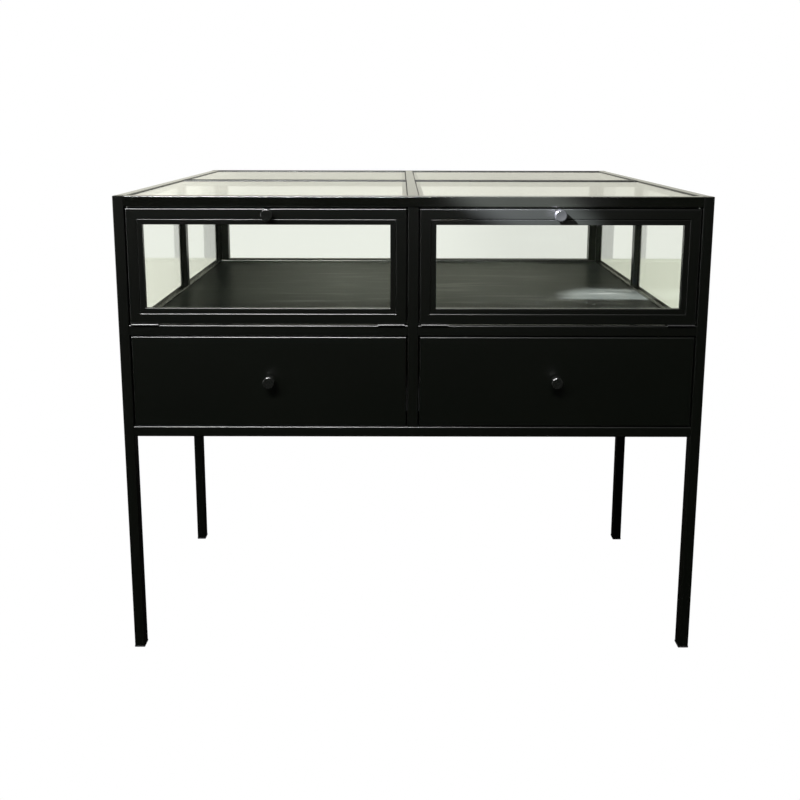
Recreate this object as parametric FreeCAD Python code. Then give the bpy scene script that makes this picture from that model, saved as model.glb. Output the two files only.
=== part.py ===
"""Glazed display table with two drop-front doors above two drawers.

A welded frame of black square steel tube carries a sunk glass top, glass sides and a
glazed back panel.  The drawer bay fills the front half, ahead of the rear legs, and the
display case reaches further back over them.

Millimetres.  X runs across the front, Y runs from the front to the back, +Z is up.
The origin is under the middle of the whole table, knobs included, on the floor.
"""
import FreeCAD, Part
import os

Vector = FreeCAD.Vector

# --- overall size ---------------------------------------------------------------------
width = 1100.0
depth = 780.0                # front face of the posts to the rear face of the case
height = 900.0

# --- square tube ----------------------------------------------------------------------
tube = 20.0
tube_wall = 1.5
tube_corner = 2.0            # outer corner radius
cap_plate = 2.0              # plate that closes the open end of a post
sheet = 1.5                  # steel sheet of the panels

# --- levels of the frame --------------------------------------------------------------
bay_bottom_z = 440.0         # underside of the drawer bay
drawer_opening = 178.0       # clear height between the bottom rails and the middle rails
floor_drop = 15.0            # display floor below the top of the middle rails
sill_drop = 11.0             # side and rear rails below the middle rails
bay_depth = 425.0            # front face to the rear face of the rear legs

# --- glass ----------------------------------------------------------------------------
top_glass = 6.0
pane = 4.0                   # side, rear and door glass
glass_gap = 1.5              # silicone joint round every pane
glass_sink = 2.0             # top panes below the top of the frame
glass_inset = 2.0            # outer face of the frame to the side panes
ledge_width = 10.0
ledge_thick = 3.0
bead_thick = 3.0
bead_height = 5.0            # of the beads behind the door glass
side_bead_height = 3.0

# --- glazed panel at the back ---------------------------------------------------------
rear_top_bar = 16.0          # height of the panel's top member
rear_low_bar = 3.0           # flat bar along its foot
rear_rebate = 2.0            # depth of the groove that holds the glass
fit_gap = 0.5                # assembly play round the panel

# --- doors ----------------------------------------------------------------------------
door_side_gap = 2.5
door_top_gap = 2.5
door_bottom_gap = 2.5
door_bar = 20.0              # width of the door's tube frame
stop_thick = 3.0             # flat bars behind the doors
stop_lap = 8.0               # of a stop behind its door
stop_gap = 0.3               # closed door to its stops
lip_width = 10.0
lip_recess = 1.0             # lip behind the face of the door
lip_thick = 8.0
lip_edge = 1.0               # rounding of the lip's front edges

# --- drawers --------------------------------------------------------------------------
drawer_side_gap = 2.5
drawer_end_gap = 2.0
drawer_front_thick = 20.0
drawer_box_depth = 370.0
drawer_box_height = 120.0
drawer_box_lift = 14.0       # box floor above the bottom edge of the drawer front
drawer_sheet = 1.2

# --- ball-bearing runners -------------------------------------------------------------
runner_thick = 12.7
runner_height = 45.0
runner_length = 350.0
runner_metal = 1.2
runner_play = 0.3
runner_lift = 30.0           # centre of the runner above the drawer box floor

# --- knobs ----------------------------------------------------------------------------
door_knob_span = 532.0       # between the middles of the two door knobs
drawer_knob_span = 538.0
drawer_knob_lift = 4.0       # knob above the middle of the drawer front
knob_diameter = 22.0
knob_head = 14.0
knob_edge = 1.2
knob_stem_diameter = 11.0
knob_stem = 8.0

# --- hinges ---------------------------------------------------------------------------
hinge_length = 50.0
hinge_end = 3.0              # end of a hinge to the end of its door
leaf_thick = 0.9
leaf_width = 17.0
barrel_radius = 2.0
pin_radius = 1.0
pin_clearance = 0.05
barrel_clearance = 0.3       # barrel to the face of the frame, and between knuckles

# --- magnetic catches -----------------------------------------------------------------
catch_length = 46.0
catch_depth = 14.0
catch_top_drop = 12.0        # top of the catch below the top of the front rail
catch_reach = 16.0           # overlap of the magnet with the back of the door

# --- leg glides -----------------------------------------------------------------------
glide_height = 4.0
glide_plug = 18.0
glide_chamfer = 1.0

# --- planes worked out from the sizes above -------------------------------------------
knob_reach = knob_head + knob_stem
half = width / 2
inner = half - tube                         # inner face of the corner posts
front = -(depth - knob_reach) / 2
rear = front + depth
front_inside = front + tube
rear_inside = rear - tube
bay_top_z = bay_bottom_z + tube + drawer_opening
ring_top_z = bay_top_z + tube
floor_z = ring_top_z - floor_drop
sill_z = ring_top_z - sill_drop
sill_under_z = sill_z - tube
top_rail_z = height - tube
bay_back = front + bay_depth
post_half = tube / 2                        # half the centre post
glass_top_z = height - glass_sink
glass_under_z = glass_top_z - top_glass
centres = {"left": -(inner + post_half) / 2, "right": (inner + post_half) / 2}
bay_width = inner - post_half


def box(x0, x1, y0, y1, z0, z1):
    """Plain block between two corners, given in any order."""
    low = Vector(min(x0, x1), min(y0, y1), min(z0, z1))
    return Part.makeBox(abs(x1 - x0), abs(y1 - y0), abs(z1 - z0), low)


def edges_along(shape, axis):
    """Straight edges of a block that run along one axis."""
    found = []
    for edge in shape.Edges:
        run = edge.Vertexes[-1].Point - edge.Vertexes[0].Point
        if run.Length > 0 and abs(run.normalize().dot(axis)) > 0.999:
            found.append(edge)
    return found


AXES = {"x": Vector(1, 0, 0), "y": Vector(0, 1, 0), "z": Vector(0, 0, 1)}


def square_tube(axis, x0, x1, y0, y1, z0, z1, cap_low=0.0, cap_high=0.0):
    """Hollow tube with rounded long edges; a cap closes an end with a plate."""
    outside = box(x0, x1, y0, y1, z0, z1)
    outside = outside.makeFillet(tube_corner, edges_along(outside, AXES[axis]))
    spans = {"x": sorted((x0, x1)), "y": sorted((y0, y1)), "z": sorted((z0, z1))}
    for name in spans:
        if name != axis:
            spans[name] = [spans[name][0] + tube_wall, spans[name][1] - tube_wall]
    spans[axis] = [spans[axis][0] + cap_low, spans[axis][1] - cap_high]
    inside = box(*spans["x"], *spans["y"], *spans["z"])
    return outside.cut(inside)


def ring(axis, u0, u1, v0, v1, w0, w1, band_u, band_v):
    """Rectangular frame; u and v span its face, w its thickness along the axis."""
    if axis == "x":
        outer = box(w0, w1, u0, u1, v0, v1)
        hole = box(w0, w1, u0 + band_u, u1 - band_u, v0 + band_v, v1 - band_v)
    elif axis == "z":
        outer = box(u0, u1, v0, v1, w0, w1)
        hole = box(u0 + band_u, u1 - band_u, v0 + band_v, v1 - band_v, w0, w1)
    else:
        outer = box(u0, u1, w0, w1, v0, v1)
        hole = box(u0 + band_u, u1 - band_u, w0, w1, v0 + band_v, v1 - band_v)
    return outer.cut(hole)


def cylinder(radius, length, start, axis):
    return Part.makeCylinder(radius, length, start, AXES[axis])


def save(name, *solids):
    """One STEP file for a node, which may hold several separate solids."""
    shape = solids[0] if len(solids) == 1 else Part.makeCompound(list(solids))
    shape.exportStep("parts/" + name + ".step")


SIDES = {"left": -1, "right": 1}


# --- welded frame ---------------------------------------------------------------------
def make_posts():
    """Corner posts, of which the front pair are also the front legs."""
    for side, s in SIDES.items():
        save("post_front_" + side,
             square_tube("z", s * inner, s * half, front, front_inside, glide_height, height,
                         cap_high=cap_plate))
        save("post_rear_" + side,
             square_tube("z", s * inner, s * half, rear_inside, rear, sill_under_z, height,
                         cap_plate, cap_plate))
        # the rear leg laps the inner face of the side rail and ends under the display floor
        save("leg_rear_" + side,
             square_tube("z", s * (inner - tube), s * inner, bay_back - tube, bay_back,
                         glide_height, floor_z - sheet))
    save("post_centre",
         square_tube("z", -post_half, post_half, front, front_inside, bay_bottom_z + tube, top_rail_z))


def make_top_frame():
    save("top_rail_front", square_tube("x", -inner, inner, front, front_inside, top_rail_z, height))
    save("top_rail_rear", square_tube("x", -inner, inner, rear_inside, rear, top_rail_z, height))
    for side, s in SIDES.items():
        save("top_rail_" + side,
             square_tube("y", s * inner, s * half, front_inside, rear_inside, top_rail_z, height))
    save("top_centre_bar",
         square_tube("y", -post_half, post_half, front_inside, rear_inside, top_rail_z, height))
    # the cross bars part the front and rear top panes, over the rear legs
    save("cross_bars", *[square_tube("x", s * post_half, s * inner, bay_back - tube, bay_back,
                                     top_rail_z, height) for s in SIDES.values()])


def make_middle_frame():
    """Rails round the display floor, the side and rear ones as low sills, and the side uprights."""
    save("middle_rails", *[square_tube("x", s * post_half, s * inner, front, front_inside,
                                       bay_top_z, ring_top_z) for s in SIDES.values()])
    for side, s in SIDES.items():
        save("side_rail_" + side,
             square_tube("y", s * inner, s * half, front_inside, rear_inside, sill_under_z, sill_z))
    save("rear_rail", square_tube("x", -inner, inner, rear_inside, rear, sill_under_z, sill_z))
    save("side_mullions", *[square_tube("z", s * inner, s * half, bay_back - tube, bay_back,
                                        sill_z, top_rail_z) for s in SIDES.values()])


def make_bottom_frame():
    rail_top = bay_bottom_z + tube
    save("bottom_rail_front",
         square_tube("x", -inner, inner, front, front_inside, bay_bottom_z, rail_top))
    sides = [square_tube("y", s * inner, s * half, front_inside, bay_back, bay_bottom_z, rail_top)
             for s in SIDES.values()]
    back = square_tube("x", -(inner - tube), inner - tube, bay_back - tube, bay_back,
                       bay_bottom_z, rail_top)
    save("bottom_rails", *sides, back)


def make_glides():
    """Plastic inserts in the open ends of the four legs."""
    glides = []
    plug = tube - 2 * tube_wall
    for s in SIDES.values():
        for x, y in ((s * (half - tube / 2), front + tube / 2),
                     (s * (inner - tube / 2), bay_back - tube / 2)):
            foot = box(x - tube / 2, x + tube / 2, y - tube / 2, y + tube / 2, 0, glide_height)
            low_edges = [e for e in foot.Edges if e.BoundBox.ZMax < glide_height / 2]
            foot = foot.makeChamfer(glide_chamfer, low_edges)
            stub = box(x - plug / 2, x + plug / 2, y - plug / 2, y + plug / 2,
                       glide_height, glide_height + glide_plug)
            glides.append(foot.fuse(stub))
    save("leg_glides", *glides)


# --- sheet panels ---------------------------------------------------------------------
def make_panels():
    """Display floor, and the sheet steel that closes the drawer bay."""
    under_floor = floor_z - sheet
    sheet_floor = box(-inner, inner, front_inside, rear_inside, under_floor, floor_z)
    front_lip = box(-inner, inner, front_inside, front_inside + sheet,
                    under_floor, ring_top_z - tube_corner)
    rear_lip = box(-inner, inner, rear_inside - sheet, rear_inside, under_floor, sill_z - tube_corner)
    save("display_floor", sheet_floor.fuse([front_lip, rear_lip]).removeSplitter())

    rail_top = bay_bottom_z + tube
    flange = tube - 2 * tube_corner
    for side, s in SIDES.items():
        # a shallow pan: its flanges turn outwards onto the flat faces of the rails
        pan = box(s * inner, s * (inner + flange), front_inside, bay_back, rail_top, sill_under_z)
        recess = box(s * (inner + sheet), s * (inner + flange), front_inside + sheet, bay_back - sheet,
                     rail_top + sheet, sill_under_z - sheet)
        save("bay_side_" + side, pan.cut(recess))
    back_y = bay_back - tube
    base_z = rail_top - tube_corner
    base = box(-inner, inner, front_inside, back_y, base_z - sheet, base_z)
    back = box(-inner, inner, back_y - sheet, back_y, base_z - sheet, floor_z - sheet)
    save("bay_base_and_back", base.fuse(back).removeSplitter())
    walls = [box(s * post_half, s * (post_half - sheet), front_inside + sheet, back_y - sheet,
                 base_z, floor_z - sheet) for s in SIDES.values()]
    nose = box(-post_half, post_half, front_inside + sheet, front_inside + 2 * sheet,
               base_z, floor_z - sheet)
    save("bay_divider", nose.fuse(walls).removeSplitter())


# --- glass ----------------------------------------------------------------------------
def make_glass():
    """Top panes lie a little sunk on ledges; side panes stand against slim beads."""
    pane_edge = inner - glass_gap
    centre_edge = post_half + glass_gap
    front_span = (front_inside + glass_gap, bay_back - tube - glass_gap)
    rear_span = (bay_back + glass_gap, rear_inside - glass_gap)
    for row, span in (("front", front_span), ("rear", rear_span)):
        save("top_glass_" + row, *[box(s * centre_edge, s * pane_edge, *span, glass_under_z, glass_top_z)
                                   for s in SIDES.values()])

    ledge_z = (glass_under_z - ledge_thick, glass_under_z)
    lights = ((front_inside, bay_back - tube), (bay_back, rear_inside))
    ledges = []
    for s in SIDES.values():
        x0, x1 = sorted((s * post_half, s * inner))
        for y0, y1 in lights:
            ledges.append(ring("z", x0, x1, y0, y1, *ledge_z, ledge_width, ledge_width))
    save("glass_ledges", *ledges)

    beads = []
    for side, s in SIDES.items():
        outer = s * (half - glass_inset)
        back_of_glass = s * (half - glass_inset - pane)
        save("side_glass_" + side,
             *[box(outer, back_of_glass, y0 + glass_gap, y1 - glass_gap,
                   sill_z + glass_gap, top_rail_z - glass_gap) for y0, y1 in lights])
        for y0, y1 in lights:
            beads.append(ring("x", y0, y1, sill_z, top_rail_z, back_of_glass,
                              back_of_glass - s * bead_thick, side_bead_height, side_bead_height))
    save("side_glass_beads", *beads)


def make_rear_panel():
    """Glazed panel screwed between the rear posts, with a stop all round the glass."""
    x = inner - fit_gap
    low = sill_z
    high = top_rail_z - fit_gap
    glass_y = (rear_inside + (tube - pane) / 2, rear_inside + (tube + pane) / 2)
    outside = box(-x, x, rear_inside, rear, low, high)
    outside = outside.makeFillet(tube_corner, edges_along(outside, AXES["z"]))
    window = box(-x + tube, x - tube, rear_inside, rear, low + rear_low_bar, high - rear_top_bar)
    groove = box(-x + tube - rear_rebate, x - tube + rear_rebate, *glass_y,
                 low + rear_low_bar - rear_rebate, high - rear_top_bar + rear_rebate)
    save("rear_panel_frame", outside.cut(window).cut(groove))
    play = rear_rebate - fit_gap
    save("rear_glass", box(-x + tube - play, x - tube + play, *glass_y,
                           low + rear_low_bar - rear_rebate, high - rear_top_bar + play))


# --- doors ----------------------------------------------------------------------------
door_low = ring_top_z + door_bottom_gap
door_high = top_rail_z - door_top_gap
hinge_y = front - barrel_radius - barrel_clearance
hinge_z = ring_top_z + door_bottom_gap / 2


def make_door(side):
    """Drop-front door: tube frame, stepped lip, glass and the bead that holds it."""
    x0 = centres[side] - bay_width / 2 + door_side_gap
    x1 = centres[side] + bay_width / 2 - door_side_gap
    back = front_inside - stop_gap
    frame = ring("y", x0, x1, door_low, door_high, front, back, door_bar, door_bar)
    face_edges = [e for e in frame.Edges if e.BoundBox.YMax < front + 1e-3]
    frame = frame.makeFillet(tube_corner, face_edges)
    lip_front = front + lip_recess
    lip = ring("y", x0 + door_bar, x1 - door_bar, door_low + door_bar, door_high - door_bar,
               lip_front, lip_front + lip_thick, lip_width, lip_width)
    lip = lip.makeFillet(lip_edge, [e for e in lip.Edges if e.BoundBox.YMax < lip_front + 1e-3])
    glass_front = front + lip_recess + lip_thick
    glass_back = glass_front + pane
    bead = ring("y", x0 + door_bar, x1 - door_bar, door_low + door_bar, door_high - door_bar,
                glass_back, back - tube_corner / 2, bead_height, bead_height)
    save("door_frame_" + side, frame.fuse(lip).removeSplitter())
    save("door_bead_" + side, bead)
    edge = door_bar + glass_gap
    save("door_glass_" + side,
         box(x0 + edge, x1 - edge, glass_front, glass_back, door_low + edge, door_high - edge))


def knob(x, z):
    """Turned knob: half its profile, from the bevelled face to the plain stem, spun round."""
    head = knob_diameter / 2
    stem = knob_stem_diameter / 2
    face_y = front - knob_reach
    back_y = front - knob_stem
    profile = ((0, face_y), (head - knob_edge, face_y), (head, face_y + knob_edge), (head, back_y),
               (stem, back_y), (stem, front), (0, front), (0, face_y))
    outline = Part.makePolygon([Vector(x + radius, y, z) for radius, y in profile])
    return Part.Face(outline).revolve(Vector(x, front, z), AXES["y"], 360)


def hinge_starts(side):
    x0 = centres[side] - bay_width / 2 + door_side_gap + hinge_end
    x1 = centres[side] + bay_width / 2 - door_side_gap - hinge_end - hinge_length
    return (x0, x1)


def leaf(x0, z0, knuckles):
    """One leaf of a weld-on butt hinge: the plate in the gap and its rolled knuckles."""
    plate = box(x0, x0 + hinge_length, front, front + leaf_width, z0, z0 + leaf_thick)
    rolls = []
    for a, b in knuckles:
        roll = cylinder(barrel_radius, b - a, Vector(x0 + a, hinge_y, hinge_z), "x")
        web = box(x0 + a, x0 + b, hinge_y, front, z0, z0 + leaf_thick)
        rolls.append(roll.fuse(web))
    return plate.fuse(rolls).removeSplitter()


def rod(x0, radius):
    """Round bar on the axis of a hinge."""
    return cylinder(radius, hinge_length, Vector(x0, hinge_y, hinge_z), "x")


def make_hinges():
    """Two small butt hinges under each door, each pin riveted in the leaf on the frame."""
    third = hinge_length / 3
    fixed_knuckles = ((0, third - barrel_clearance), (2 * third + barrel_clearance, hinge_length))
    moving_knuckle = ((third, 2 * third),)
    fixed = []
    for side in SIDES:
        moving = []
        for x0 in hinge_starts(side):
            fixed.append(leaf(x0, ring_top_z, fixed_knuckles).fuse(rod(x0, pin_radius)).removeSplitter())
            bore = rod(x0, pin_radius + pin_clearance)
            moving.append(leaf(x0, door_low - leaf_thick, moving_knuckle).cut(bore))
        save("hinge_door_leaves_" + side, *moving)
    save("hinge_frame_leaves", *fixed)


def make_catches():
    """Magnetic catch behind the top of each door, fixed to the back of the front rail."""
    save("magnetic_catches",
         *[box(x - catch_length / 2, x + catch_length / 2, front_inside, front_inside + catch_depth,
               door_high - catch_reach, height - catch_top_drop) for x in centres.values()])


def make_door_stops():
    """Flat bars on the back of the posts and the front rail, which close the gaps round the doors."""
    y0, y1 = front_inside, front_inside + stop_thick
    lap = inner - stop_lap
    low = top_rail_z - stop_lap
    high = height - catch_top_drop
    stops = [box(-post_half - stop_lap, post_half + stop_lap, y0, y1, ring_top_z, low)]
    for side, s in SIDES.items():
        stops.append(box(s * lap, s * (inner + tube / 2), y0, y1, ring_top_z, low))
        catch = abs(centres[side])
        # the bar under the front rail is broken round the catch
        for start, end in ((post_half, catch - catch_length / 2), (catch + catch_length / 2, inner)):
            stops.append(box(s * start, s * end, y0, y1, low, high))
    save("door_stops", *stops)


# --- drawers --------------------------------------------------------------------------
drawer_low = bay_bottom_z + tube + drawer_end_gap
drawer_high = bay_top_z - drawer_end_gap
box_floor_z = drawer_low + drawer_box_lift
runner_z = box_floor_z + runner_lift


def make_drawer(side):
    """Folded drawer front, and the open folded box behind it."""
    x0 = centres[side] - bay_width / 2 + drawer_side_gap
    x1 = centres[side] + bay_width / 2 - drawer_side_gap
    back = front + drawer_front_thick
    skin = box(x0, x1, front, back, drawer_low, drawer_high)
    face_edges = [e for e in skin.Edges if e.BoundBox.YMax < front + 1e-3]
    skin = skin.makeFillet(tube_corner, face_edges)
    hollow = box(x0 + sheet, x1 - sheet, front + sheet, back, drawer_low + sheet, drawer_high - sheet)
    save("drawer_front_" + side, skin.cut(hollow))

    bx0 = centres[side] - bay_width / 2 + runner_thick
    bx1 = centres[side] + bay_width / 2 - runner_thick
    outside = box(bx0, bx1, front + sheet, front + drawer_front_thick + drawer_box_depth,
                  box_floor_z, box_floor_z + drawer_box_height)
    inside = box(bx0 + drawer_sheet, bx1 - drawer_sheet, front + sheet + drawer_sheet,
                 front + drawer_front_thick + drawer_box_depth - drawer_sheet,
                 box_floor_z + drawer_sheet, box_floor_z + drawer_box_height)
    save("drawer_box_" + side, outside.cut(inside))


def channel(wall_x, inward, u0, u1, half_height, open_inward):
    """C section along Y; u is measured from the bay wall towards the drawer."""
    y0 = front_inside + sheet
    outer = box(wall_x + inward * u0, wall_x + inward * u1, y0, y0 + runner_length,
                runner_z - half_height, runner_z + half_height)
    cut0 = u0 + runner_metal if open_inward else u0
    cut1 = u1 if open_inward else u1 - runner_metal
    hollow = box(wall_x + inward * cut0, wall_x + inward * cut1, y0, y0 + runner_length,
                 runner_z - half_height + runner_metal, runner_z + half_height - runner_metal)
    return outer.cut(hollow)


def make_runners():
    """Three nested channels a side: cabinet member, middle member and drawer member."""
    step = runner_metal + runner_play
    outer_half = runner_height / 2
    cabinet = []
    for side, s in SIDES.items():
        middle = []
        drawer = []
        for wall_x, inward in ((centres[side] - bay_width / 2, 1), (centres[side] + bay_width / 2, -1)):
            cabinet.append(channel(wall_x, inward, 0, runner_thick - 2 * step, outer_half, True))
            middle.append(channel(wall_x, inward, step, runner_thick - step, outer_half - step, True))
            drawer.append(channel(wall_x, inward, 2 * step, runner_thick, outer_half - 2 * step, False))
        save("runner_middle_" + side, *middle)
        save("runner_drawer_" + side, *drawer)
    save("runner_cabinet_members", *cabinet)


os.makedirs("parts", exist_ok=True)
make_posts()
make_top_frame()
make_middle_frame()
make_bottom_frame()
make_glides()
make_panels()
make_glass()
make_rear_panel()
make_hinges()
make_catches()
make_door_stops()
make_runners()
for side in SIDES:
    make_door(side)
    make_drawer(side)
    save("door_knob_" + side, knob(SIDES[side] * door_knob_span / 2, door_high - door_bar / 2))
    drawer_knob_z = (drawer_low + drawer_high) / 2 + drawer_knob_lift
    save("drawer_knob_" + side, knob(SIDES[side] * drawer_knob_span / 2, drawer_knob_z))
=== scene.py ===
import bpy, math
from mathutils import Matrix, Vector


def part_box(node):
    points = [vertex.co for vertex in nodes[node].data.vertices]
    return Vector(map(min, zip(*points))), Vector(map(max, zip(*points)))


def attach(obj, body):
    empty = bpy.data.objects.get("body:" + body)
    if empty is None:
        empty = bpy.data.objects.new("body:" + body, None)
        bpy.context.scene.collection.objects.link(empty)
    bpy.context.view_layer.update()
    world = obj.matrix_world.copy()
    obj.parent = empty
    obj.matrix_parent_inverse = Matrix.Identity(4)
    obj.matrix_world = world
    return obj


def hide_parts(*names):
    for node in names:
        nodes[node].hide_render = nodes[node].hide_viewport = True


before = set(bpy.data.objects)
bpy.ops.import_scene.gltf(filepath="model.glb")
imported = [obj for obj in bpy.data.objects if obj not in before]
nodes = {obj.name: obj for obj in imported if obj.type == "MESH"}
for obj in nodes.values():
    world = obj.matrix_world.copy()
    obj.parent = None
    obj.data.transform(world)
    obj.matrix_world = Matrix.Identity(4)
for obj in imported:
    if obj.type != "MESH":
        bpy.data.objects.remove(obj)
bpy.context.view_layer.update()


# --- Tube frame ---------------------------------------------------------------------------
# Square steel tube, welded and ground flush, then powder coated in satin black with a fine
# peel.  Its gloss drifts along the tubes where it cured unevenly.  The top rails and the
# side sills are rubbed glossy, and inside the case and at its rear the coat is duller.

class Signal:
    """A number socket in a material, on which Python arithmetic adds Math nodes."""

    def __init__(self, tree, socket):
        self.tree, self.socket = tree, socket

    def maths(self, operation, first, second):
        node = self.tree.nodes.new("ShaderNodeMath")
        node.operation = operation
        for slot, value in zip(node.inputs, (first, second)):
            if isinstance(value, Signal):
                self.tree.links.new(value.socket, slot)
            else:
                slot.default_value = value
        return Signal(self.tree, node.outputs[0])

    def __add__(self, other):
        return self.maths("ADD", self, other)

    def __radd__(self, other):
        return self.maths("ADD", other, self)

    def __sub__(self, other):
        return self.maths("SUBTRACT", self, other)

    def __rsub__(self, other):
        return self.maths("SUBTRACT", other, self)

    def __mul__(self, other):
        return self.maths("MULTIPLY", self, other)

    def __rmul__(self, other):
        return self.maths("MULTIPLY", other, self)

    def or_larger(self, other):
        return self.maths("MAXIMUM", self, other)


class Nodes:
    """A node tree, and short ways to add nodes to it."""

    def __init__(self, tree):
        self.tree = tree

    def node(self, kind, settings=None, **sockets):
        made = self.tree.nodes.new("ShaderNode" + kind)
        for setting, value in (settings or {}).items():
            setattr(made, setting, value)
        for socket, value in sockets.items():
            self.join(made.inputs[socket.replace("_", " ")], value)
        return made

    def join(self, socket, value):
        if isinstance(value, Signal):
            value = value.socket
        if isinstance(value, bpy.types.NodeSocket):
            self.tree.links.new(value, socket)
        else:
            socket.default_value = value

    def signal(self, node, output=0):
        return Signal(self.tree, node.outputs[output])

    def ramp(self, value, start, end):
        """Goes smoothly from 0 at the start to 1 at the end."""
        step = self.node("MapRange", {"interpolation_type": "SMOOTHSTEP"})
        for entry, number in zip(step.inputs[:5], (value, start, end, 0.0, 1.0)):
            self.join(entry, number)
        return self.signal(step)

    def blend(self, socket, mask, first, second):
        """A colour that runs from the first to the second as the mask goes from 0 to 1."""
        mix = self.node("Mix", {"data_type": "RGBA"})
        for entry, value in zip(("Factor_Float", "A_Color", "B_Color"),
                                (mask, (*first, 1), (*second, 1))):
            self.join(next(i for i in mix.inputs if i.identifier == entry), value)
        self.join(socket, next(o for o in mix.outputs if o.identifier == "Result_Color"))

    def mix(self, mask, first, second):
        """A shader that runs from the first to the second as the mask goes from 0 to 1."""
        mixed = self.node("MixShader")
        for entry, value in zip(mixed.inputs, (mask, first, second)):
            self.join(entry, value)
        return mixed.outputs[0]


class Finish(Nodes):
    """A material with one Principled shader."""

    def __init__(self, name, **constants):
        self.material = bpy.data.materials.new(name)
        self.material.use_nodes = True
        super().__init__(self.material.node_tree)
        self.shader = self.tree.nodes["Principled BSDF"]
        for socket, value in constants.items():
            self.shader.inputs[socket.replace("_", " ")].default_value = value

    def place(self, stretch=(1, 1, 1)):
        """Object coordinates, stretched along the axes."""
        spot = self.node("TexCoord").outputs["Object"]
        return self.node("Mapping", Vector=spot, Scale=stretch).outputs[0]

    def noise(self, scale, detail=2, stretch=(1, 1, 1)):
        """Even noise around one half, with so many patches per metre."""
        return self.signal(self.node("TexNoise", Vector=self.place(stretch), Scale=scale,
                                     Detail=detail))

    def drive(self, name, value):
        self.join(self.shader.inputs[name], value)

    def bump(self, height, depth, strength=1):
        raised = self.node("Bump", Height=height, Distance=depth, Strength=strength)
        self.drive("Normal", raised.outputs[0])

    def tint(self, mask, dark, light):
        """Base colour that runs from dark to light as the mask goes from 0 to 1."""
        self.blend(self.shader.inputs["Base Color"], mask, dark, light)

    def show(self, shader):
        """Puts a shader of its own on the surface."""
        self.join(self.tree.nodes["Material Output"].inputs["Surface"], shader)


def dress(finish, *names):
    """Gives CAD nodes a finish."""
    for name in names:
        mesh = nodes[name].data
        mesh.materials.clear()
        mesh.materials.append(finish.material)


pigment_shine = 0.02             # of the coloured layer under the clear film
pigment_matt, matt_drift = 0.48, 0.16
gloss_patches = 6                # drifts of the gloss per metre
peel_size = 900                  # bumps of the powder coat per metre
peel_depth = 0.00002
soft_peel, full_peel = 0.02, 0.05
rubbed, satin, dull = 0.14, 0.275, 0.45          # how much the clear film blurs a mirror image
deep_black = (0.0003, 0.0007, 0.0001), (0.0008, 0.0013, 0.0004)
handled_black = (0.0012, 0.0015, 0.0009), (0.0020, 0.0024, 0.0015)


def make_coat(name, film, blur, tones, peel, matt=pigment_matt, patches=gloss_patches):
    """Black powder coat under a clear film, whose refractive index sets how much it shines."""
    coat = Finish(name, Specular_IOR_Level=pigment_shine, Coat_Weight=1.0, Coat_IOR=film,
                  Coat_Roughness=blur)
    drift = coat.noise(patches, 3)
    coat.drive("Roughness", matt + matt_drift * drift)
    coat.tint(drift, *tones)
    coat.bump(coat.noise(peel_size), peel_depth, peel)
    return coat


powder_coat = make_coat("satin_black_coat", film=1.8, blur=satin, tones=deep_black,
                        peel=soft_peel)
dress(powder_coat, "post_front_left", "post_front_right", "post_centre", "leg_rear_left",
      "leg_rear_right", "middle_rails", "rear_rail", "bottom_rail_front", "bottom_rails",
      "glass_ledges", "door_stops", "door_frame_left", "door_frame_right", "door_bead_left",
      "door_bead_right")

rear_coat = make_coat("dull_black_coat", film=1.6, blur=dull, tones=handled_black,
                      peel=full_peel)
dress(rear_coat, "top_rail_rear", "cross_bars")

inner_coat = make_coat("inner_black_coat", film=1.4, blur=satin, tones=deep_black,
                       peel=soft_peel)
dress(inner_coat, "post_rear_left", "post_rear_right", "side_mullions", "rear_panel_frame")

rubbed_coat = make_coat("rubbed_black_coat", film=2.0, blur=rubbed, tones=handled_black,
                        peel=soft_peel)
dress(rubbed_coat, "top_rail_front", "top_rail_left", "top_rail_right", "top_centre_bar",
      "side_rail_left", "side_rail_right", "side_glass_beads")


# --- Leg glides ---------------------------------------------------------------------------
# Moulded black plastic inserts, pressed into the open ends of the legs, so that the steel
# stands clear of the floor and slides over it without a scratch.

glide_tones = (0.010, 0.010, 0.010), (0.020, 0.020, 0.020)

glide_plastic = Finish("glide_plastic", Roughness=0.55)
glide_plastic.tint(glide_plastic.noise(300), *glide_tones)
dress(glide_plastic, "leg_glides")


# --- Sheet panels -------------------------------------------------------------------------
# Folded steel sheet under the same coat.  Goods slid over the display floor have rubbed and
# scratched it.  Painted shade darkens these marks towards both ends of the floor and in its
# rear corner at the right.

sheet_black = (0.0003, 0.0008, 0.0001), (0.0007, 0.0014, 0.0004)

sheet_coat = make_coat("sheet_coat", film=1.8, blur=satin, tones=sheet_black, peel=full_peel,
                       matt=0.50, patches=5)
dress(sheet_coat, "bay_side_left", "bay_side_right", "bay_base_and_back", "bay_divider",
      "drawer_box_left", "drawer_box_right", "drawer_front_left", "drawer_front_right")

floor_shine = 0.015
floor_matt, streak_matt = 0.29, 0.06
floor_tones = (0.0020, 0.0028, 0.0022), (0.070, 0.0725, 0.065)
streak_share, scratch_share = 0.4, 0.6
scratch_from, scratch_to = 0.50, 0.74            # of the noise that draws the scratches
# painted shade: how far the marks darken towards each end of the floor and in its rear right
# corner
left_from, left_to, left_end_painted_shade = -0.15, -0.47, 0.8         # from the middle of the floor
right_from, right_to, right_end_painted_shade = 0, 0.52, 0.4
corner_from, corner_to, corner_painted_shade = (0.32, -0.04), (0.48, 0.10), 0.8
dent_depth, dent_strength = 0.0004, 0.08

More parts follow.
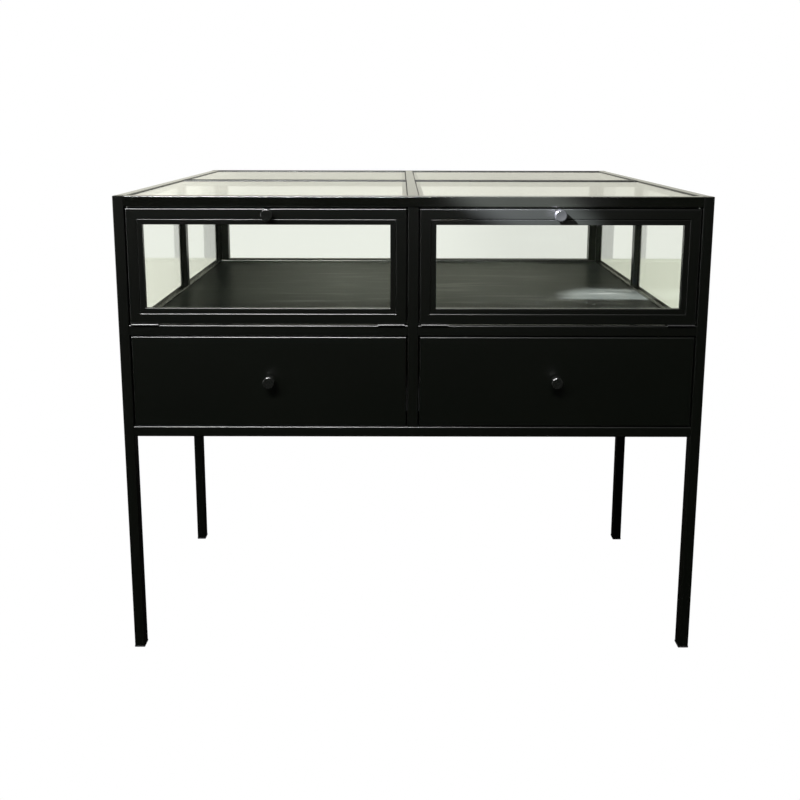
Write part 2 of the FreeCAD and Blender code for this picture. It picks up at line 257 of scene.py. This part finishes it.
floor_coat = Finish("display_floor_coat", Specular_IOR_Level=floor_shine)
streaks = floor_coat.noise(5, 4, (0.6, 6, 1))
scratches = floor_coat.ramp(floor_coat.noise(14, 5, (0.35, 3, 1)), scratch_from, scratch_to)
spot = floor_coat.node("SeparateXYZ", Vector=floor_coat.place())
across, backwards = (floor_coat.signal(spot, axis) for axis in "XY")
at_left_end = floor_coat.ramp(across, left_from, left_to)
at_right_end = floor_coat.ramp(across, right_from, right_to)
in_shaded_corner = (floor_coat.ramp(across, corner_from[0], corner_to[0])
             * floor_coat.ramp(backwards, corner_from[1], corner_to[1]))
wear_and_painted_shade = streak_share * streaks + scratch_share * scratches
# painted shade: the light marks are drawn darker towards both ends and in the rear right corner
wear_and_painted_shade = wear_and_painted_shade * (1 - left_end_painted_shade * at_left_end) * (1 - right_end_painted_shade * at_right_end)
floor_coat.tint(wear_and_painted_shade * (1 - corner_painted_shade * in_shaded_corner), *floor_tones)
floor_coat.drive("Roughness", floor_matt + streak_matt * streaks)
floor_coat.bump(floor_coat.noise(12, 2, (0.5, 2, 1)), dent_depth, dent_strength)
dress(floor_coat, "display_floor")


# --- Glass --------------------------------------------------------------------------------
# Clear float glass with ground arrises: four sunk top panes, four side panes, one rear
# pane and one in each door.

pane_arris = 0.0006
solids_apart = 0.00001           # the least gap between two solids of one node
glass_tone = (0.970, 0.988, 0.943)

# the glass bends what is seen through it, but lets the lamps straight through
clear_glass = Finish("clear_glass", Roughness=0.0, IOR=1.45, Base_Color=(*glass_tone, 1),
                     Transmission_Weight=1.0)
shadow_ray = clear_glass.node("LightPath").outputs["Is Shadow Ray"]
lets_through = clear_glass.node("BsdfTransparent", Color=(*glass_tone, 1)).outputs[0]
clear_glass.show(clear_glass.mix(shadow_ray, clear_glass.shader.outputs[0], lets_through))


def start_box(name, low, high):
    """A new box between two corners, left in edit mode with all of it selected."""
    bpy.ops.object.select_all(action="DESELECT")
    bpy.ops.mesh.primitive_cube_add(size=1, location=(0, 0, 0))
    box = bpy.context.object
    box.name = name
    bpy.ops.object.mode_set(mode="EDIT")
    bpy.ops.mesh.select_all(action="SELECT")
    bpy.ops.transform.resize(value=high - low)
    bpy.ops.transform.translate(value=(low + high) / 2)
    return box


def make_pane(name, low, high, body, node):
    """A pane between two corners, with its edges ground to a small flat."""
    pane = start_box(name, low, high)
    bpy.ops.mesh.bevel(offset=pane_arris, segments=1)
    bpy.ops.object.mode_set(mode="OBJECT")
    pane.data.materials.append(clear_glass.material)
    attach(pane, body)
    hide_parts(node)


def solids_of(name):
    """The boxes of a node's separate solids, from left to right and front to back."""
    mesh = nodes[name].data
    shells = []
    for face in mesh.polygons:
        corners = [mesh.vertices[i].co for i in face.vertices]
        low = Vector([min(c[k] for c in corners) for k in range(3)])
        high = Vector([max(c[k] for c in corners) for k in range(3)])
        touching = [s for s in shells
                    if all(low[k] <= s[1][k] + solids_apart and high[k] >= s[0][k] - solids_apart
                           for k in range(3))]
        for shell in touching:
            low = Vector([min(low[k], shell[0][k]) for k in range(3)])
            high = Vector([max(high[k], shell[1][k]) for k in range(3)])
            shells.remove(shell)
        shells.append((low, high))
    return sorted(shells, key=lambda s: (round(s[0].x, 3), round(s[0].y, 3)))


bodies_of_panes = {"top_glass_front": "cabinet", "top_glass_rear": "cabinet",
                   "side_glass_left": "cabinet", "side_glass_right": "cabinet",
                   "rear_glass": "cabinet",
                   "door_glass_left": "door_left", "door_glass_right": "door_right"}

for node, body in bodies_of_panes.items():
    for count, (low, high) in enumerate(solids_of(node), 1):
        make_pane(node + "_pane_" + str(count), low, high, body, node)


# --- Joints round the top panes -----------------------------------------------------------
# Black silicone, run into the gap round each sunk top pane and tooled to a hollow, which
# leaves the joint a little below the glass.

joint_width = 0.0013             # a hair less than the gap, so that nothing touches
joint_air = 0.0001               # between the joint and the pane
joint_drop = 0.0006              # below the top of the glass
joint_hollow = 0.0004
silicone_matt, smear_matt = 0.38, 0.2
silicone_tones = (0.006, 0.006, 0.006), (0.012, 0.012, 0.012)

silicone = Finish("black_silicone", Specular_IOR_Level=0.4)
silicone.drive("Roughness", silicone_matt + smear_matt * silicone.noise(90))
silicone.tint(silicone.noise(40), *silicone_tones)


def choose(thing, test):
    """In edit mode, selects the faces that a test on their centre and normal accepts."""
    bpy.ops.mesh.select_mode(type="FACE")
    bpy.ops.mesh.select_all(action="DESELECT")
    bpy.ops.object.mode_set(mode="OBJECT")
    for face in thing.data.polygons:
        face.select = test(face)
    bpy.ops.object.mode_set(mode="EDIT")


def make_joint(name, low, high):
    """A square-cornered ring round a pane, with a hollow along its top."""
    air = Vector((joint_air, joint_air, 0))
    rim = Vector((joint_width, joint_width, 0))
    low, high = low - air, high + air
    middle = (low + high) / 2
    size = high - low + 2 * rim
    top = high.z - joint_drop
    bpy.ops.object.select_all(action="DESELECT")
    bpy.ops.mesh.primitive_plane_add(size=1, location=(0, 0, 0))
    joint = bpy.context.object
    joint.name = name
    bpy.ops.object.mode_set(mode="EDIT")
    bpy.ops.mesh.select_all(action="SELECT")
    bpy.ops.transform.resize(value=(size.x, size.y, 1))
    bpy.ops.transform.translate(value=(middle.x, middle.y, top))
    bpy.ops.mesh.inset(thickness=joint_width)
    choose(joint, lambda face: abs(face.center.x - middle.x) < size.x / 4
           and abs(face.center.y - middle.y) < size.y / 4)
    bpy.ops.mesh.delete(type="FACE")
    bpy.ops.mesh.select_all(action="SELECT")
    bpy.ops.mesh.extrude_region_move(TRANSFORM_OT_translate={"value": (0, 0, low.z - top)})
    bpy.ops.mesh.select_all(action="SELECT")
    bpy.ops.mesh.normals_make_consistent(inside=False)
    choose(joint, lambda face: face.normal.z > 0.5)
    bpy.ops.mesh.inset(thickness=joint_width / 3)
    bpy.ops.transform.translate(value=(0, 0, -joint_hollow))
    bpy.ops.object.mode_set(mode="OBJECT")
    bpy.ops.object.shade_smooth_by_angle(angle=math.radians(50))
    joint.data.materials.append(silicone.material)
    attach(joint, "cabinet")


for node in ("top_glass_front", "top_glass_rear"):
    for count, (low, high) in enumerate(solids_of(node), 1):
        make_joint(node.replace("glass", "joint") + "_" + str(count), low, high)


# --- Hinges and runners -------------------------------------------------------------------
# Small zinc-plated weld-on butt hinges in the gap below each door, and ball-bearing runners
# of bright rolled steel.

zinc_tones = (0.45, 0.46, 0.47), (0.62, 0.63, 0.64)
hinge_tones = (0.09, 0.09, 0.09), (0.17, 0.17, 0.17)
brushed_matt, worn_matt, metal_drift = 0.32, 0.25, 0.2

zinc = Finish("zinc_plate", Metallic=1.0)
brushing = zinc.noise(60, 3, (1, 12, 12))
zinc.drive("Roughness", brushed_matt + metal_drift * brushing)
zinc.tint(brushing, *zinc_tones)
dress(zinc, "runner_cabinet_members", "runner_middle_left", "runner_middle_right",
      "runner_drawer_left", "runner_drawer_right")

hinge_zinc = Finish("dark_zinc", Metallic=1.0)
hinge_wear = hinge_zinc.noise(200, 3)
hinge_zinc.drive("Roughness", worn_matt + metal_drift * hinge_wear)
hinge_zinc.tint(hinge_wear, *hinge_tones)
dress(hinge_zinc, "hinge_frame_leaves", "hinge_door_leaves_left", "hinge_door_leaves_right")


# --- Magnetic catches ---------------------------------------------------------------------
# A moulded black case behind the top of each door, screwed to the back of the front rail,
# with the two steel poles of its magnet facing the door.

case_rounding = 0.0012
pole_thick, pole_depth = 0.0014, 0.004
pole_arris = 0.0001
pole_proud = 0.00015             # of the face of the case
pole_share = 0.78                # of the length of the case
pole_rises = (0.0045, 0.0105)    # above the foot of the case
screw_radius, screw_rise = 0.0035, 0.0016
screw_dome, socket_depth = 0.6, 0.5              # as shares of the rise of the head
socket_rim = 0.25                # as a share of the radius of the head
screw_spread = 0.016             # from the middle of the case
screw_drop = 0.006               # below the top of the case
screw_tones = (0.50, 0.50, 0.50), (0.66, 0.66, 0.66)

screw_zinc = Finish("bright_screw", Metallic=1.0)
screw_wear = screw_zinc.noise(500)
screw_zinc.drive("Roughness", worn_matt + metal_drift * screw_wear)
screw_zinc.tint(screw_wear, *screw_tones)


def make_catch_block(name, low, high, rounding, finish):
    """A block between two corners, with rounded edges."""
    block = start_box(name, low, high)
    bpy.ops.mesh.bevel(offset=rounding, segments=3)
    bpy.ops.object.mode_set(mode="OBJECT")
    bpy.ops.object.shade_smooth_by_angle(angle=math.radians(40))
    block.data.materials.append(finish.material)
    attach(block, "cabinet")
    return block


def make_screw(name, foot, body):
    """A pan-head screw whose head stands on a wall that faces the rear, with a round socket."""
    bpy.ops.object.select_all(action="DESELECT")
    bpy.ops.mesh.primitive_cylinder_add(vertices=36, radius=screw_radius, depth=screw_rise,
                                        location=(0, 0, 0), end_fill_type="NGON")
    screw = bpy.context.object
    screw.name = name
    bpy.ops.object.mode_set(mode="EDIT")
    choose(screw, lambda face: face.normal.z > 0.5)
    bpy.ops.mesh.bevel(offset=screw_rise * screw_dome, segments=4)
    choose(screw, lambda face: face.normal.z > 0.99)
    bpy.ops.mesh.inset(thickness=screw_radius * socket_rim)
    bpy.ops.transform.translate(value=(0, 0, -screw_rise * socket_depth))
    bpy.ops.mesh.select_all(action="SELECT")
    bpy.ops.transform.rotate(value=math.pi / 2, orient_axis="X", center_override=(0, 0, 0))
    bpy.ops.transform.translate(value=foot + Vector((0, screw_rise / 2, 0)))
    bpy.ops.object.mode_set(mode="OBJECT")
    bpy.ops.object.shade_smooth_by_angle(angle=math.radians(35))
    screw.data.materials.append(screw_zinc.material)
    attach(screw, body)


for side, (low, high) in zip(("left", "right"), solids_of("magnetic_catches")):
    case = make_catch_block("catch_case_" + side, low, high, case_rounding, glide_plastic)
    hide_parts("magnetic_catches")
    middle = (low + high) / 2
    half_pole = (high.x - low.x) / 2 * pole_share
    for count, rise in enumerate(pole_rises, 1):
        pole_foot = low.z + rise
        make_catch_block("catch_pole_" + side + "_" + str(count),
                         Vector((middle.x - half_pole, low.y - pole_proud, pole_foot)),
                         Vector((middle.x + half_pole, low.y + pole_depth,
                                 pole_foot + pole_thick)),
                         pole_arris, screw_zinc)
    for count, way in enumerate((-1, 1), 1):
        make_screw("catch_screw_" + side + "_" + str(count),
                   Vector((middle.x + way * screw_spread, high.y, high.z - screw_drop)),
                   "cabinet")


# --- Knobs --------------------------------------------------------------------------------
# Turned steel knobs under a glossier black, on a thinner stem, with rolled rims.  A screw
# through the front wall of the box holds each drawer's knob.

knob_rim = 0.0022
rim_fullness = 0.6               # from a flat bevel at 0.25 to a square edge at 1
head_share = 0.64                # length of the head, as a share of the knob's
dish_inset, dish_sink = 0.22, 0.012              # shares of the radius and of the length
stem_share = 0.5                 # diameter of the stem, as a share of the head's
drawer_wall = 0.0012
knob_matt, knob_drift = 0.20, 0.08
knob_tones = (0.003, 0.0035, 0.003), (0.005, 0.0055, 0.0045)
knob_peel = 1400                 # bumps per metre

knob_coat = Finish("knob_coat", Specular_IOR_Level=0.1, Coat_Weight=1.0, Coat_IOR=2.6,
                   Coat_Roughness=0.20)
handling = knob_coat.noise(40)
knob_coat.drive("Roughness", knob_matt + knob_drift * handling)
knob_coat.tint(handling, *knob_tones)
knob_coat.bump(knob_coat.noise(knob_peel), peel_depth, strength=0.5)


def make_knob(name, body, node):
    """A head with rolled rims and a slightly dished face, drawn in behind to its stem."""
    low, high = (Vector(corner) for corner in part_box(node))
    radius = (high.x - low.x) / 2
    reach = high.y - low.y
    head = reach * head_share
    middle = Vector(((low.x + high.x) / 2, low.y + head / 2, (low.z + high.z) / 2))
    bpy.ops.object.select_all(action="DESELECT")
    bpy.ops.mesh.primitive_cylinder_add(vertices=64, radius=radius, depth=head,
                                        location=(0, 0, 0), end_fill_type="NGON")
    knob = bpy.context.object
    knob.name = name
    bpy.ops.object.mode_set(mode="EDIT")
    bpy.ops.mesh.select_all(action="SELECT")
    bpy.ops.transform.rotate(value=-math.pi / 2, orient_axis="X", center_override=(0, 0, 0))
    bpy.ops.transform.translate(value=middle)
    choose(knob, lambda face: len(face.vertices) > 4)
    bpy.ops.mesh.bevel(offset=knob_rim, segments=6, profile=rim_fullness)
    # the front face sinks a little inside its rim
    choose(knob, lambda face: len(face.vertices) > 4 and face.center.y < middle.y)
    bpy.ops.mesh.inset(thickness=radius * dish_inset)
    bpy.ops.transform.translate(value=(0, reach * dish_sink, 0))
    # the back face steps in to the stem
    choose(knob, lambda face: len(face.vertices) > 4 and face.center.y > middle.y)
    bpy.ops.mesh.inset(thickness=radius * (1 - stem_share) - knob_rim)
    bpy.ops.mesh.extrude_region_move(TRANSFORM_OT_translate={"value": (0, reach - head, 0)})
    bpy.ops.object.mode_set(mode="OBJECT")
    bpy.ops.object.shade_smooth_by_angle(angle=math.radians(35))
    knob.data.materials.append(knob_coat.material)
    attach(knob, body)
    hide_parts(node)


for side in ("left", "right"):
    make_knob("knob_of_door_" + side, "door_" + side, "door_knob_" + side)
    make_knob("knob_of_drawer_" + side, "drawer_" + side, "drawer_knob_" + side)
    low, high = (Vector(corner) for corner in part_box("drawer_knob_" + side))
    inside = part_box("drawer_box_" + side)[0][1] + drawer_wall
    make_screw("knob_screw_" + side,
               Vector(((low.x + high.x) / 2, inside, (low.z + high.z) / 2)), "drawer_" + side)


# --- Studio -------------------------------------------------------------------------------
# A plain white floor that ends against a white sky, soft lamps above and at the sides, a
# window behind the camera at its right, a beam of sunlight, and a camera a little above the
# table top.

floor_front, floor_rear, floor_side = -8.0, 4.1, 8.0
paper_white = 0.86
floor_in_glass = (0.95, 0.97, 0.86)              # the floor behind the table, through the panes
lit_floor_in_glass = (1.18, 1.18, 1.09)          # the same at its left, which is better lit
floor_in_steel = (0.006, 0.006, 0.005)           # the floor as the steel mirrors it
floor_seen_low = (0.16, 0.16, 0.15)              # the same behind the table
behind_from, behind_to = 0.6, 1.6                # where the floor counts as behind the table
lit_from, lit_to = 1.0, -1.0                     # how the light grows from right to left

bpy.ops.object.select_all(action="DESELECT")
bpy.ops.mesh.primitive_plane_add(size=1, location=(0, 0, 0))
ground = bpy.context.object
ground.name = "studio_floor"
bpy.ops.object.mode_set(mode="EDIT")
bpy.ops.mesh.select_all(action="SELECT")
bpy.ops.transform.resize(value=(2 * floor_side, floor_rear - floor_front, 1))
bpy.ops.transform.translate(value=(0, (floor_rear + floor_front) / 2, 0))
bpy.ops.object.mode_set(mode="OBJECT")

paper = Finish("studio_paper", Base_Color=(paper_white, paper_white, paper_white, 1),
               Roughness=0.9, Specular_IOR_Level=0.1)


def kinds_of_ray(tree):
    """Masks of what looks at a surface: the camera, a mirror image, or glass."""
    path = tree.node("LightPath")
    return [tree.signal(path, "Is " + kind + " Ray")
            for kind in ("Camera", "Glossy", "Transmission")]


def overlay(under, mask, colour):
    """Shows a plain colour over a shader, as far as a mask lets it."""
    plain = paper.node("Emission", Color=(*colour, 1), Strength=1.0)
    return paper.mix(mask, under, plain.outputs[0])


by_camera, by_mirror, by_glass = kinds_of_ray(paper)
spot = paper.node("SeparateXYZ", Vector=paper.node("TexCoord").outputs["Object"])
behind_table = paper.ramp(paper.signal(spot, "Y"), behind_from, behind_to)
better_lit = paper.ramp(paper.signal(spot, "X"), lit_from, lit_to)
surface = overlay(paper.shader.outputs[0], by_mirror, floor_in_steel)
surface = overlay(surface, by_mirror * behind_table, floor_seen_low)
surface = overlay(surface, by_glass * behind_table, floor_in_glass)
surface = overlay(surface, by_glass * behind_table * better_lit, lit_floor_in_glass)
paper.show(overlay(surface, by_camera, (1, 1, 1)))
ground.data.materials.append(paper.material)


def lamp(name, size, radiance, place, aim, seen_through=True):
    """A soft rectangular lamp that looks at a point, as bright as its radiance says."""
    data = bpy.data.lights.new(name, "AREA")
    data.shape = "RECTANGLE"
    data.size, data.size_y = size
    data.energy = radiance * math.pi * size[0] * size[1]
    made = bpy.data.objects.new(name, data)
    bpy.context.collection.objects.link(made)
    made.location = place
    made.rotation_euler = (Vector(aim) - Vector(place)).to_track_quat("-Z", "Y").to_euler()
    made.visible_camera = False
    made.visible_transmission = seen_through


table_middle = (0, 0, 0.7)
right_door = (0.19, -0.38, 0.87)
lamp("key", (0.5, 0.5), 80, (-2.6, -2.75, 2.9), table_middle)
lamp("strip", (2.9, 0.34), 225, (-1.35, -4.6, 5.6), table_middle)
lamp("overhead", (2.2, 0.16), 12, (0.2, -0.3, 3.0), table_middle)
lamp("left_side", (0.25, 1.2), 5, (-2.6, -1.6, 0.7), table_middle, seen_through=False)
lamp("right_side", (0.25, 1.2), 1, (2.6, -1.6, 0.7), table_middle, seen_through=False)
lamp("window", (0.85, 0.75), 0.2, (0.63, -3.2, 0.87), right_door, seen_through=False)

# the beam grazes the top of the right door and falls through the glass on the display floor
sun_heading = Vector((0.623, 0.561, -0.545))
sun_aim = Vector((0.160, -0.379, 0.912))
sun_way = 4.6                    # from the lamp to the door
beam_radius, beam_flatness = 0.14, 0.42
beam_blur, sun_radius = 0.5, 0.02
sun_energy = 58000
sun_colour = (0.84, 0.81, 1.0)

sun_data = bpy.data.lights.new("sunbeam", "SPOT")
sun_data.energy = sun_energy
sun_data.color = sun_colour
sun_data.spot_size = 2 * math.atan(beam_radius / sun_way)
sun_data.spot_blend = beam_blur
sun_data.shadow_soft_size = sun_radius
sunbeam = bpy.data.objects.new("sunbeam", sun_data)
bpy.context.collection.objects.link(sunbeam)
sunbeam.location = sun_aim - sun_way * sun_heading
sunbeam.rotation_euler = sun_heading.to_track_quat("-Z", "Y").to_euler()
sunbeam.scale = (1, beam_flatness, 1)
sunbeam.visible_camera = False

white_light = 0.02               # of the sky, on what is matt
dark_room = 0.006                # the room behind the camera, as the steel mirrors it
warm_wall = (0.88, 0.875, 0.765)                 # the wall behind the table, mirrored
wall_light = 0.94
left_glow, right_shade = 0.25, 0.08              # low down at both sides of the wall
left_dusk, right_dusk = 0.9, 0.5                 # high up at both sides of the wall
shade_in_glass = 0.12            # at the right of the wall, as the panes show it

world = bpy.data.worlds.new("studio")
bpy.context.scene.world = world
world.use_nodes = True
air = Nodes(world.node_tree)
heading = air.node("SeparateXYZ", Vector=air.node("TexCoord").outputs["Generated"])
sideward, rearward, upward = (air.signal(heading, axis) for axis in "XYZ")
# a heading is one long, and each ramp runs from one share of it to another
high_up = air.ramp(upward, 0.13, 0.18)
at_left, at_right = air.ramp(sideward, -0.16, -0.30), air.ramp(sideward, 0.03, 0.16)
off_left, off_right = air.ramp(sideward, -0.05, -0.24), air.ramp(sideward, 0.10, 0.30)
wall = wall_light * (1 - high_up * (left_dusk * off_left + right_dusk * off_right))
wall = wall + (1 - high_up) * (left_glow * at_left - right_shade * at_right)
wall = wall * air.ramp(rearward, 0.1, 0.7) + dark_room

seen, mirrored, in_glass = kinds_of_ray(air)
past_table = air.ramp(rearward, -0.1, 0.1) * air.ramp(upward, 0.04, 0.0)
seen = seen + in_glass * past_table
mirrored = mirrored.or_larger(in_glass) * (1 - seen)
matt = 1 - seen - mirrored
shaded = shade_in_glass * (in_glass * past_table * at_right)
sky = air.tree.nodes["Background"]
air.join(sky.inputs["Strength"], seen - shaded + mirrored * wall + matt * white_light)
air.blend(sky.inputs["Color"], mirrored, (1, 1, 1), warm_wall)

picture = 800                    # side of the square picture
sensor_side = 36                 # in mm
focal = 775.3                    # of the lens, in picture points
centre_of_view = (400.5, 235.8)
eye_side, eye_back, eye_height = -0.0246, 1.408, 1.0328
down, turn, roll = 0.1447, 0.0004, -0.0019

camera_data = bpy.data.cameras.new("camera")
camera = bpy.data.objects.new("camera", camera_data)
bpy.context.collection.objects.link(camera)
front_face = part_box("top_rail_front")[0][1]
camera.location = (eye_side, front_face - eye_back, eye_height)
camera.rotation_euler = (math.pi / 2 - down, roll, -turn)
camera_data.sensor_width = sensor_side
camera_data.lens = sensor_side * focal / picture
camera_data.shift_x = (picture / 2 - centre_of_view[0]) / picture
camera_data.shift_y = (centre_of_view[1] - picture / 2) / picture
bpy.context.scene.camera = camera
bpy.context.scene.view_settings.view_transform = "Standard"
